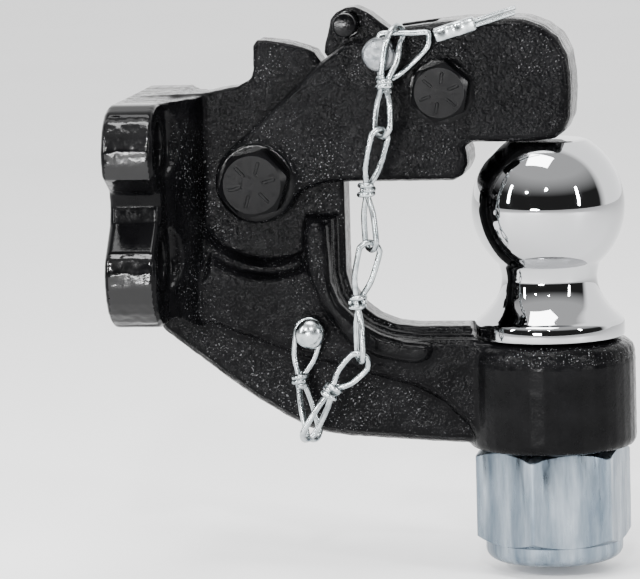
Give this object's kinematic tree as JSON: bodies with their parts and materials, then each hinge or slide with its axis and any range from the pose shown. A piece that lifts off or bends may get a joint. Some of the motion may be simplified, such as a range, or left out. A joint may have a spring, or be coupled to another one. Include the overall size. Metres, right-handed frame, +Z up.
{
  "type": "pintle hook with hitch ball",
  "caption": "Bolt-on combination tow hook: forged hook with a swinging, spring-locked latch, a chrome hitch ball in its nose boss, and a chained safety pin",
  "frame": {"origin": "centre of the four-bolt pattern, on the rear mounting face", "axes": "+X forward from the mounting face to the ball, +Z up along the ball's axis, Y across the hook"},
  "size_m": [0.1947, 0.1236, 0.2167],
  "materials": {
    "body_paint": "gloss black enamel over a forged, faintly pebbled surface",
    "latch_paint": "gloss black enamel over a forged surface",
    "fastener_black": "gloss black painted bolt heads, nuts and washers",
    "ball_chrome": "mirror-bright chrome plate",
    "zinc_nut": "bright zinc plate, machined, faintly blue",
    "zinc_wire": "bright zinc-plated wire and pin",
    "spring_steel": "oiled spring steel",
    "nylon": "natural nylon"
  },
  "bodies": {
    "hook": {"body": "body_paint", "hitch_ball": "ball_chrome", "ball_lock_nut": "zinc_nut", "nut_nylon_insert": "nylon", "chain_rivet": "zinc_wire", "latch_pivot_bolt": "fastener_black", "latch_pivot_nut": "fastener_black", "latch_pivot_washer": "fastener_black"},
    "latch": {"latch": "latch_paint", "lock_pivot_bolt": "fastener_black", "lock_pivot_nut": "fastener_black", "lock_pivot_washer": "fastener_black", "lock_torsion_spring": "spring_steel"},
    "lever": {"lock_lever": "latch_paint", "handle_bar": "latch_paint"},
    "pin": {"safety_pin": "zinc_wire", "pin_bail_wire": "zinc_wire", "bail_ferrule": "zinc_wire"},
    "link_1": {"chain_link_1": "zinc_wire"},
    "link_2": {"chain_link_2": "zinc_wire"},
    "link_3": {"chain_link_3": "zinc_wire"},
    "link_4": {"chain_link_4": "zinc_wire"},
    "link_5": {"chain_link_5": "zinc_wire"}
  },
  "joints": [
    {"name": "latch_open", "type": "hinge", "parent": "hook", "child": "latch", "pos_m": [0.052, 0, 0.005], "axis": [0, -1, 0], "range_deg": [0, 45]},
    {"name": "lock_lift", "type": "hinge", "parent": "latch", "child": "lever", "pos_m": [0.124, 0, 0.0388], "axis": [0, 1, 0], "range_deg": [0, 16]},
    {"name": "pin_slide", "type": "slide", "parent": "latch", "child": "pin", "axis": [0, -1, 0], "range_m": [0, 0.046]},
    {"name": "link_1_swing", "type": "hinge", "parent": "pin", "child": "link_1", "pos_m": [0.1092, -0.0224, 0.0613], "axis": [0, 1, 0], "range_deg": [0, 35]},
    {"name": "link_2_swing", "type": "hinge", "parent": "link_1", "child": "link_2", "pos_m": [0.103, -0.0344, 0.0248], "axis": [0, 1, 0], "range_deg": [-6, 10]},
    {"name": "link_3_swing", "type": "hinge", "parent": "link_2", "child": "link_3", "pos_m": [0.0982, -0.0356, -0.018], "axis": [0, 1, 0], "range_deg": [-6, 10]},
    {"name": "link_4_swing", "type": "hinge", "parent": "link_3", "child": "link_4", "pos_m": [0.0936, -0.0364, -0.0612], "axis": [0, 1, 0], "range_deg": [-6, 6]},
    {"name": "link_5_swing", "type": "hinge", "parent": "hook", "child": "link_5", "pos_m": [0.0723, -0.023, -0.0502], "axis": [0, 1, 0], "range_deg": [-8, 4]}
  ],
  "couplings": [
    {"joint": "lock_lift", "follows": "latch_open", "ratio": 0.35},
    {"joint": "link_1_swing", "follows": "latch_open", "ratio": 0.75}
  ]
}
